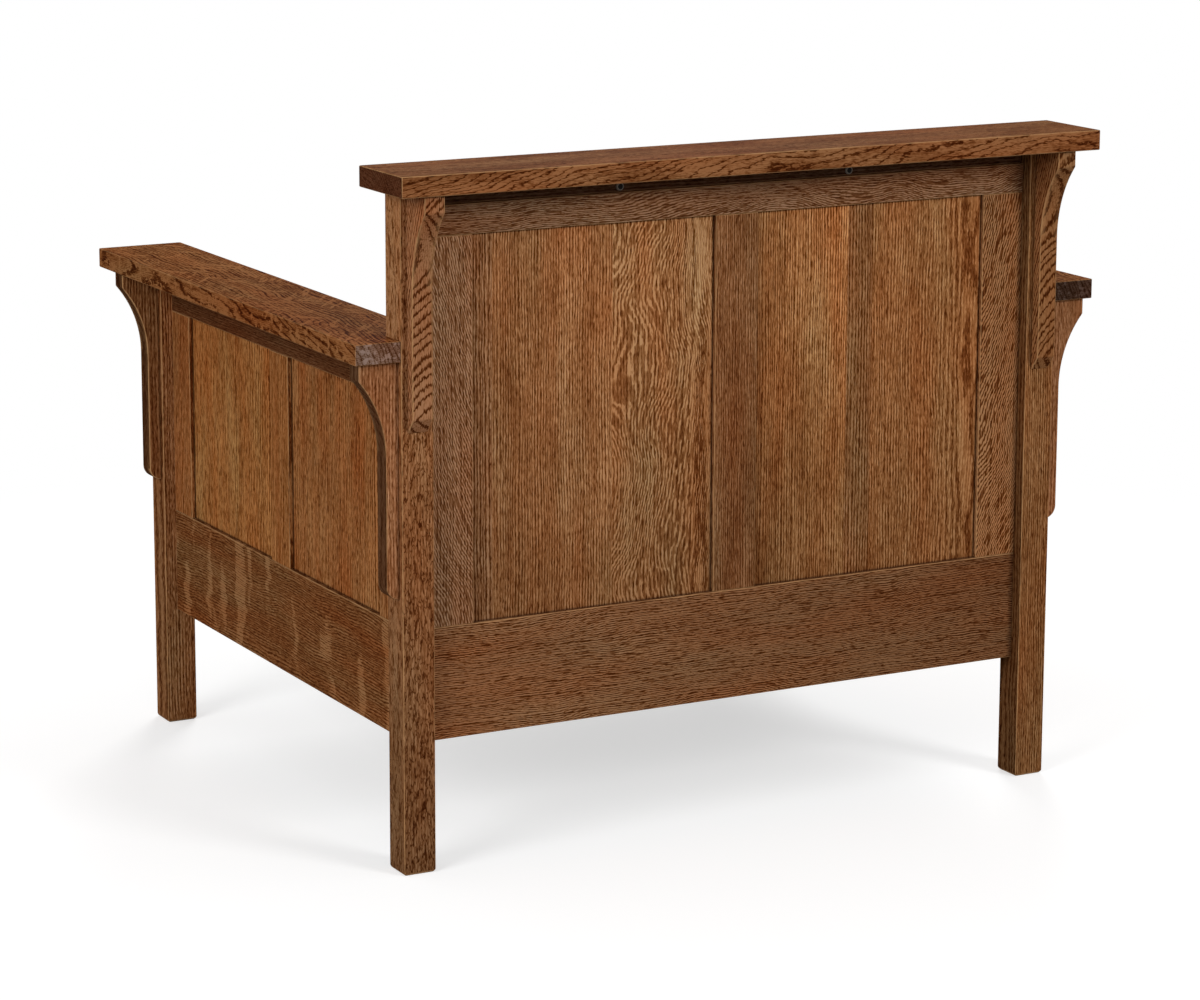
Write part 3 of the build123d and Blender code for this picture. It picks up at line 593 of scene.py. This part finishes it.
# dark and pale plies take turns through the board, and show on its edges
birchPlywood = {
    "dark": (0.07, 0.03, 0.012, 1), "pale": (0.15, 0.075, 0.034, 1), "figure": ((2.2, 16, 16), 3.0, 0.5),
    "figureStep": (0.35, 0.62), "grained": (0.045, 0.02, 0.009, 1), "grainShare": 0.65,
    "grain": ((7, 260, 260), 4.0, 0.65), "grainStep": (0.4, 0.62), "plyPair": 0.003,
    "edge": (0.04, 0.02, 0.01, 1), "edgeShare": 0.6, "edgeStep": (0.75, 0.5), "plyStep": (-0.3, 0.3),
    "roughness": (0.2, 0.55), "bump": 0.2, "depth": 0.0003, "constants": {"Specular IOR Level": 0.15},
}


def makePlywood(look):
    material = newMaterial("birch_plywood")
    tree = material.node_tree
    grain = between(tree, objectNoise(tree, *look["grain"]), *look["grainStep"])
    figure = between(tree, objectNoise(tree, *look["figure"]), *look["figureStep"])
    surface = coordinates(tree)
    through = split(tree, surface["Object"])[1]
    plies = calc(tree, "SINE", calc(tree, "MULTIPLY", through, 2 * math.pi / look["plyPair"]))
    facing = calc(tree, "ABSOLUTE", split(tree, surface["Normal"])[1])
    edge = between(tree, facing, *look["edgeStep"])
    darkPlies = calc(tree, "MULTIPLY", edge, between(tree, plies, *look["plyStep"]))
    colour = mixColour(tree, figure, look["dark"], look["pale"])
    colour = marked(tree, colour, grain, look["grainShare"], look["grained"])
    colour = marked(tree, colour, darkPlies, look["edgeShare"], look["edge"])
    height = calc(tree, "ADD", grain, plies)
    return finishSurface(material, look, colour, linear(tree, grain, *look["roughness"]), height)


seatMaple = {
    "dark": (0.15, 0.062, 0.022, 1), "pale": (0.23, 0.1, 0.038, 1), "figure": ((9, 9, 40), 3.0, 0.6),
    "grained": (0.085, 0.033, 0.012, 1), "grainShare": 0.6, "grain": ((6, 6, 150), 4.0, 0.6),
    "grainStep": (0.4, 0.7),
    "roughness": (0.2, 0.48), "bump": 0.2, "depth": 0.0003, "constants": {"Specular IOR Level": 0.2},
}


def makeMaple(look):
    material = newMaterial("seat_box_maple")
    tree = material.node_tree
    grain = objectNoise(tree, *look["grain"])
    figure = objectNoise(tree, *look["figure"])
    colour = mixColour(tree, figure, look["dark"], look["pale"])
    grainLines = between(tree, grain, *look["grainStep"])
    colour = marked(tree, colour, grainLines, look["grainShare"], look["grained"])
    return finishSurface(material, look, colour, linear(tree, grain, *look["roughness"]), grain)


juteStraps = {
    "dark": (0.1, 0.075, 0.045, 1), "pale": (0.26, 0.2, 0.12, 1), "pitches": (0.0026, 0.0032),
    "weaveStep": (-0.8, 0.8), "fuzzy": (0.17, 0.13, 0.08, 1), "fuzzShare": 0.5,
    "fuzz": ((500, 500, 500), 3.0, 0.5),
    "roughness": (0.15, 0.8), "bump": 0.4, "depth": 0.0006, "constants": {},
}


def makeWebbing(look):
    material = newMaterial("jute_webbing")
    tree = material.node_tree
    part = split(tree, coordinates(tree)["Object"])
    waves = []
    for i, pitch in enumerate(look["pitches"]):
        waves.append(calc(tree, "SINE", calc(tree, "MULTIPLY", part[i], 2 * math.pi / pitch)))
    weave = calc(tree, "MULTIPLY", *waves)
    fuzz = objectNoise(tree, *look["fuzz"])
    colour = mixColour(tree, between(tree, weave, *look["weaveStep"]), look["dark"], look["pale"])
    colour = marked(tree, colour, fuzz, look["fuzzShare"], look["fuzzy"])
    return finishSurface(material, look, colour, linear(tree, fuzz, *look["roughness"]), weave)


# Each finish: how it is made, its look, the radius of its eased edges, and the nodes that have it.
innerFinishes = [
    (makeBlackSteel, blackSteel, 0.0006, [
        "track_left", "track_right", "carriage_plate_left", "carriage_plate_right", "backrest_brackets",
        "footrest_brackets", "footrest_lower_links", "footrest_upper_links"]),
    (makeZincSteel, brightZinc, 0.0004, ["track_screws", "carriage_pins", "roller_axles"]),
    (makeScrewSteel, agedScrews, 0.0004, ["cap_screws"]),
    (makeNylon, rollerNylon, 0.0008, ["front_rollers", "back_rollers"]),
    (makePlywood, birchPlywood, 0.0012, ["backrest_board", "footrest_board"]),
    (makeMaple, seatMaple, 0.0015, ["seat_front_rail", "seat_back_rail", "seat_side_rails"]),
    (makeWebbing, juteStraps, 0.0004, ["seat_webbing"]),
]
for makeFinish, look, radius, names in innerFinishes:
    finish = makeFinish(look)
    for name in names:
        dress(nodes[name], finish)
        easeEdges(nodes[name], radius)
print("mechanism and seat box dressed")


# Upholstery: woven fabric, boxed cushions blown up by a cloth simulation, with welts along their seams.

wovenFabric = {
    "thread": 0.0019, "dark": (0.052, 0.042, 0.02, 1), "light": (0.2, 0.165, 0.088, 1), "weaveShare": 0.35,
    "weaveStep": (-1.2, 1.2), "threadStep": (0.32, 0.68), "slubs": ((60, 420, 420), 3.0, 0.6),
    "crossSlubs": ((420, 60, 60), 3.0, 0.6), "worn": (0.19, 0.15, 0.075, 1), "wornShare": 0.3,
    "wear": ((6, 6, 6), 3.0, 0.55), "wearStep": (0.35, 0.75), "weaveHeight": 0.5,
    "roughness": (0.1, 0.82), "bump": 0.5, "depth": 0.0007,
    "constants": {"Sheen Weight": 0.06, "Sheen Roughness": 0.45, "Specular IOR Level": 0.08},
}


def makeFabric(name, turned, tint=1.0):
    look = wovenFabric
    material = newMaterial(name)
    tree = material.node_tree
    place = objectPlace(tree, rotation=(turned, 0, 0))
    part = split(tree, place)

    def clothNoise(scale, detail, roughness):
        return noise(tree, vectorCalc(tree, "MULTIPLY", place, scale), detail, roughness)

    waves = []
    for i in range(3):
        waves.append(calc(tree, "SINE", calc(tree, "MULTIPLY", part[i], 2 * math.pi / look["thread"])))
    crossed = [calc(tree, "MULTIPLY", waves[i], waves[j]) for i, j in ((0, 1), (1, 2), (0, 2))]
    weave = calc(tree, "ADD", crossed[0], calc(tree, "ADD", crossed[1], crossed[2]))
    slubs = calc(tree, "MULTIPLY", clothNoise(*look["slubs"]), 0.5)
    threads = linear(tree, clothNoise(*look["crossSlubs"]), 0.5, slubs)
    weavePart = calc(tree, "MULTIPLY", between(tree, weave, *look["weaveStep"]), look["weaveShare"])
    light = linear(tree, between(tree, threads, *look["threadStep"]), 1 - look["weaveShare"], weavePart)
    wear = between(tree, clothNoise(*look["wear"]), *look["wearStep"])
    colour = mixColour(tree, light, look["dark"], look["light"])
    colour = marked(tree, colour, wear, look["wornShare"], look["worn"])
    # a tint below 1 darkens the cloth: the welts' darker cloth is a painted shade along the seams
    colour = mixColour(tree, 1.0, colour, (tint, tint, tint, 1), "MULTIPLY")
    height = linear(tree, weave, look["weaveHeight"], threads)
    return finishSurface(material, look, colour, linear(tree, threads, *look["roughness"]), height)


# Cushions, drawn upright in metres. The rest side is the one that lies on the seat box or on a board.
cushions = {
    "seat_cushion": {
        "box": ((-0.4225, -0.4245, 0.3845), (0.4225, 0.2045, 0.4845)), "rim": 0.075, "cells": (84, 62, 8),
        "crown": 0.004, "pressure": 4.0, "rise": 0.025, "bulge": 0.011, "pullIn": 0.009, "pucker": 0.001,
        "restAxis": 2, "restSide": -1, "body": "carriage", "lean": 0.0,
    },
    "back_cushion": {
        "box": ((-0.4145, 0.1239, 0.4885), (0.4145, 0.2239, 0.8695)), "rim": 0.075, "cells": (82, 8, 38),
        "crown": 0.004, "pressure": 4.0, "rise": 0.025, "bulge": 0.011, "pullIn": 0.009, "pucker": 0.0012,
        "restAxis": 1, "restSide": 1, "body": "backrest", "lean": -12.0,
    },
    "footrest_pad": {
        "box": ((-0.4265, -0.4548, 0.1905), (0.4265, -0.4101, 0.3775)), "rim": 0.036, "cells": (84, 4, 19),
        "crown": 0.002, "pressure": 3.0, "rise": 0.01, "bulge": 0.004, "pullIn": 0.005, "pucker": 0.0008,
        "restAxis": 1, "restSide": 1, "body": "footrest", "lean": 0.0,
    },
}
stuffing = {"steps": 20, "quality": 5}
# slow ripples on the crown, how freely the sides move away from the rest side, gathers along the seams
softForm = {
    "ripple": 0.0013, "rippleWaves": (21, 17), "rippleBend": 2, "looseMiddle": 0.55, "looseSpread": 0.45,
    "gatherFade": 0.022, "gatherReach": 0.2, "gatherWaves": (210, 37), "gatherBend": 2.6,
}
# the welt's tint darkens its cloth, a painted shade along the seams
welt = {
    "radius": 0.0036, "proud": 0.0006, "lift": 5.0, "outside": 0.93, "rounding": 3, "roundness": 3,
    "turn": 0.6, "tint": 0.62,
}
nearly = 1 - 1e-5  # a share of a half side beyond which a point lies on the box's edge
backHinge = Vector(next(joint["pos_m"] for joint in frame["joints"] if joint["name"] == "back_recline"))


def addPiece(name, data):
    piece = bpy.data.objects.new(name, data)
    scene.collection.objects.link(piece)
    return piece


def shapedMesh(piece):
    # a new mesh of the piece as its modifiers or its bevel shape it
    return bpy.data.meshes.new_from_object(piece.evaluated_get(bpy.context.evaluated_depsgraph_get()))


def boxGrid(name, low, high, cells):
    # a box of even squares, so that the seams' points are known after the simulation
    made = bmesh.new()
    bmesh.ops.create_cube(made, size=1.0)
    bmesh.ops.scale(made, vec=high - low, verts=made.verts)
    bmesh.ops.translate(made, vec=(low + high) / 2, verts=made.verts)
    for axis in range(3):
        half = 0.5 * (high - low)[axis]
        lines = [e for e in made.edges if abs((e.verts[0].co - e.verts[1].co)[axis]) > half]
        bmesh.ops.subdivide_edges(made, edges=lines, cuts=cells[axis] - 1, use_grid_fill=True)
    mesh = bpy.data.meshes.new(name)
    made.to_mesh(mesh)
    made.free()
    return addPiece(name, mesh)


def seamLoop(mesh, low, high, axis, level):
    # indices of the points on one face's rim, in order round it
    others = [i for i in range(3) if i != axis]
    middle, half = (low + high) / 2, (high - low) / 2
    rim = []
    for v in mesh.vertices:
        if abs(v.co[axis] - level) > 1e-6:
            continue
        a, b = [(v.co[i] - middle[i]) / half[i] for i in others]
        if max(abs(a), abs(b)) > nearly:
            side = 0 if b < -nearly else 1 if a > nearly else 2 if b > nearly else 3
            rim.append((side, (a, b, -a, -b)[side], v.index))
    return [index for side, step, index in sorted(rim)]


def stuff(piece, pressure):
    # the cloth simulation that fills a cushion, applied to its mesh
    cloth = piece.modifiers.new("stuffing", "CLOTH")
    cloth.settings.use_pressure = True
    cloth.settings.uniform_pressure_force = pressure
    cloth.settings.effector_weights.gravity = 0
    cloth.settings.quality = stuffing["quality"]
    cloth.point_cache.frame_start = 1
    cloth.point_cache.frame_end = stuffing["steps"]
    for step in range(1, stuffing["steps"] + 1):
        scene.frame_set(step)
    filled = shapedMesh(piece)
    piece.modifiers.remove(cloth)
    piece.data = filled
    scene.frame_set(1)


def settle(piece, look, start, low, high):
    # holds the cloth's moves within bounds, then adds the crown, the pulled-in sides and the gathers
    rest, restSide = look["restAxis"], look["restSide"]
    others = [i for i in range(3) if i != rest]
    middle, half = (low + high) / 2, (high - low) / 2
    floorLevel = (high if restSide > 0 else low)[rest]
    moves = [v.co - before for v, before in zip(piece.data.vertices, start)]
    upward = max(-restSide * move[rest] for move in moves) or 1.0
    outward = max(abs(move[i]) for move in moves for i in others) or 1.0
    firstRipple, secondRipple = softForm["rippleWaves"]
    fastGather, slowGather = softForm["gatherWaves"]
    for v, before, moved in zip(piece.data.vertices, start, moves):
        share = [(before[i] - middle[i]) / half[i] for i in range(3)]
        restShare = share[rest] * restSide
        away = 0.5 - 0.5 * restShare
        loose = softForm["looseMiddle"] - softForm["looseSpread"] * restShare
        dome = (1 - share[others[0]] ** 4) * (1 - share[others[1]] ** 4)
        bend = softForm["rippleBend"] * math.sin(before[others[1]] * secondRipple)
        ripple = softForm["ripple"] * math.sin(before[others[0]] * firstRipple + bend)
        moved[rest] *= min(1.0, look["rise"] / upward)
        moved[rest] -= restSide * dome * (look["crown"] + ripple) * away
        for i, other in (others, others[::-1]):
            moved[i] *= min(1.0, look["bulge"] / outward) * loose
            moved[i] -= share[i] * look["pullIn"] * (1 - share[other] ** 2) * loose
            run = before[other]
            fromSeam = min((1 - abs(share[i])) * half[i], softForm["gatherReach"])
            fade = math.exp(-fromSeam / softForm["gatherFade"]) * (1 - share[other] ** 8)
            sway = softForm["gatherBend"] * math.sin(run * slowGather + i)
            moved[rest] += look["pucker"] * fade * math.sin(run * fastGather + sway) * away
        if restShare > 0.999:
            moved[rest] = 0.0
        v.co = before + moved
        if (v.co[rest] - floorLevel) * restSide > 0:
            v.co[rest] = floorLevel


def makeWelt(name, places, look, low, high, onRestSide):
    # a thin round cord along one seam, a little proud of it, and lifted where the cushion rests
    rest = look["restAxis"]
    middle, half = (low + high) / 2, (high - low) / 2
    for step in range(welt["rounding"]):
        after = places[1:] + places[:1]
        places = [(places[i - 1] + places[i] * 2 + after[i]) / 4 for i in range(len(places))]
    line = bpy.data.curves.new(name + "_line", "CURVE")
    line.dimensions = "3D"
    spline = line.splines.new("POLY")
    spline.points.add(len(places) - 1)
    for point, at in zip(spline.points, places):
        out = Vector([(at[i] - middle[i]) / half[i] for i in range(3)])
        for i in range(3):
            if i == rest or abs(out[i]) <= welt["outside"]:
                out[i] = 0
        if onRestSide:
            out[rest] = -look["restSide"] * welt["lift"]
        point.co = (*(at + out * welt["proud"]), 1)
    spline.use_cyclic_u = True
    line.bevel_depth = welt["radius"]
    line.bevel_resolution = welt["roundness"]
    holder = addPiece(name + "_line", line)
    bpy.context.view_layer.update()
    cord = addPiece(name, shapedMesh(holder))
    bpy.data.objects.remove(holder)
    return cord


def makeCushion(name, look):
    low, high = Vector(look["box"][0]), Vector(look["box"][1])
    rest, restSide = look["restAxis"], look["restSide"]
    if restSide < 0:
        high[rest] = low[rest] + look["rim"]
    else:
        low[rest] = high[rest] - look["rim"]
    piece = boxGrid(name + "_cover", low, high, look["cells"])
    start = [v.co.copy() for v in piece.data.vertices]
    seams = [seamLoop(piece.data, low, high, rest, level) for level in (low[rest], high[rest])]
    stuff(piece, look["pressure"])
    settle(piece, look, start, low, high)
    welts = []
    for n, seam in enumerate(seams):
        places = [piece.data.vertices[index].co.copy() for index in seam]
        onRestSide = n == (restSide + 1) // 2
        welts.append(makeWelt(f"{name}_welt_{n + 1}", places, look, low, high, onRestSide))
    tilt = math.radians(look["lean"])
    fabric = makeFabric("woven_" + name, -tilt)
    weltFabric = makeFabric("welt_" + name, -tilt + welt["turn"], welt["tint"])
    lean = Matrix.Translation(backHinge) @ Matrix.Rotation(tilt, 4, "X") @ Matrix.Translation(-backHinge)
    for made, cloth in [(piece, fabric)] + [(cord, weltFabric) for cord in welts]:
        made.data.transform(lean)
        dress(made, cloth)
        for polygon in made.data.polygons:
            polygon.use_smooth = True
        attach(made, look["body"])
    smooth = piece.modifiers.new("soft", "SUBSURF")
    smooth.levels = smooth.render_levels = 1
    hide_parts(name)
    spread = [[v.co[i] for v in piece.data.vertices] for i in range(3)]
    print(name, "made, mm:", [round((max(line) - min(line)) / millimetre) for line in spread])


for name, look in cushions.items():
    makeCushion(name, look)


# Camera, floor, background and lamps.

# azimuth and elevation: where the camera stands, seen from the object
cameraLook = {
    "place": (2.458, 4.5608, 1.5248), "azimuth": 61.5864, "elevation": 11.14527, "roll": 0.19098,
    "sensor": 36, "lens": 112.814, "shift": -0.0833, "far": 100,
}
cameraData = bpy.data.cameras.new("camera")
cameraData.sensor_width = cameraLook["sensor"]
cameraData.lens = cameraLook["lens"]
cameraData.shift_y = cameraLook["shift"]
cameraData.clip_end = cameraLook["far"]
camera = addPiece("camera", cameraData)
aimed = Euler((math.radians(90 - cameraLook["elevation"]), 0, math.radians(90 + cameraLook["azimuth"])))
rolled = Matrix.Rotation(math.radians(cameraLook["roll"]), 4, "Z")
camera.matrix_world = Matrix.Translation(cameraLook["place"]) @ aimed.to_matrix().to_4x4() @ rolled
scene.camera = camera

# each lamp: place, size in metres, power in watts
studio = {
    "floorSize": 14.0, "floorColour": (0.56, 0.56, 0.56, 1), "floorGlow": 0.56, "shadowFade": (1.1, 2.0),
    "worldColour": (1, 1, 1, 1), "worldLight": 0.42, "aim": (0, 0, 0.45),
    "lamps": {
        "keyLamp": ((-3.0, 6.6, 3.4), 2.6, 268.0),
        "sideLamp": ((5.0, 2.2, 2.6), 2.8, 165.0),
        "frontLamp": ((-2.6, -4.4, 2.6), 2.4, 160.0),
    },
}


def seenWhite(tree):
    # 1 for the camera, and for what metal and glass show
    path = addNode(tree, "ShaderNodeLightPath").outputs
    shown = calc(tree, "MAXIMUM", path["Is Glossy Ray"], path["Is Transmission Ray"])
    return calc(tree, "MAXIMUM", path["Is Camera Ray"], shown)


def makeFloorFinish():
    # grey with a glow near the object, where it takes the shadow, and plain white farther out
    material = newMaterial("floor_white")
    tree = material.node_tree
    diffuse = addNode(tree, "ShaderNodeBsdfDiffuse", {"Color": studio["floorColour"]}).outputs[0]
    glowStrength = calc(tree, "MULTIPLY", seenWhite(tree), studio["floorGlow"])
    glow = addNode(tree, "ShaderNodeEmission", {"Strength": glowStrength}).outputs[0]
    lit = addNode(tree, "ShaderNodeAddShader", {0: diffuse, 1: glow}).outputs[0]
    plain = addNode(tree, "ShaderNodeEmission", {"Strength": seenWhite(tree)}).outputs[0]
    measured = addNode(tree, "ShaderNodeVectorMath", {0: objectPlace(tree)}, operation="LENGTH")
    away = between(tree, measured.outputs["Value"], *studio["shadowFade"])
    mixed = addNode(tree, "ShaderNodeMixShader", {0: away, 1: lit, 2: plain}).outputs[0]
    addNode(tree, "ShaderNodeOutputMaterial", {"Surface": mixed})
    return material


floorMesh = bpy.data.meshes.new("floor")
floorShape = bmesh.new()
bmesh.ops.create_grid(floorShape, x_segments=1, y_segments=1, size=studio["floorSize"] / 2)
floorShape.to_mesh(floorMesh)
floorShape.free()
floor = addPiece("floor", floorMesh)
dress(floor, makeFloorFinish())

world = bpy.data.worlds.new("studio")
scene.world = world
world.use_nodes = True
sky = world.node_tree
sky.nodes.clear()
skyStrength = calc(sky, "MAXIMUM", seenWhite(sky), studio["worldLight"])
skyInputs = {"Color": studio["worldColour"], "Strength": skyStrength}
background = addNode(sky, "ShaderNodeBackground", skyInputs).outputs[0]
addNode(sky, "ShaderNodeOutputWorld", {"Surface": background})

for lampName, (place, size, power) in studio["lamps"].items():
    lampData = bpy.data.lights.new(lampName, "AREA")
    lampData.shape = "DISK"
    lampData.size = size
    lampData.energy = power
    lamp = addPiece(lampName, lampData)
    lamp.location = place
    lamp.rotation_euler = (Vector(studio["aim"]) - Vector(place)).to_track_quat("-Z", "Y").to_euler()

scene.view_settings.view_transform = "Standard"
print("studio ready")
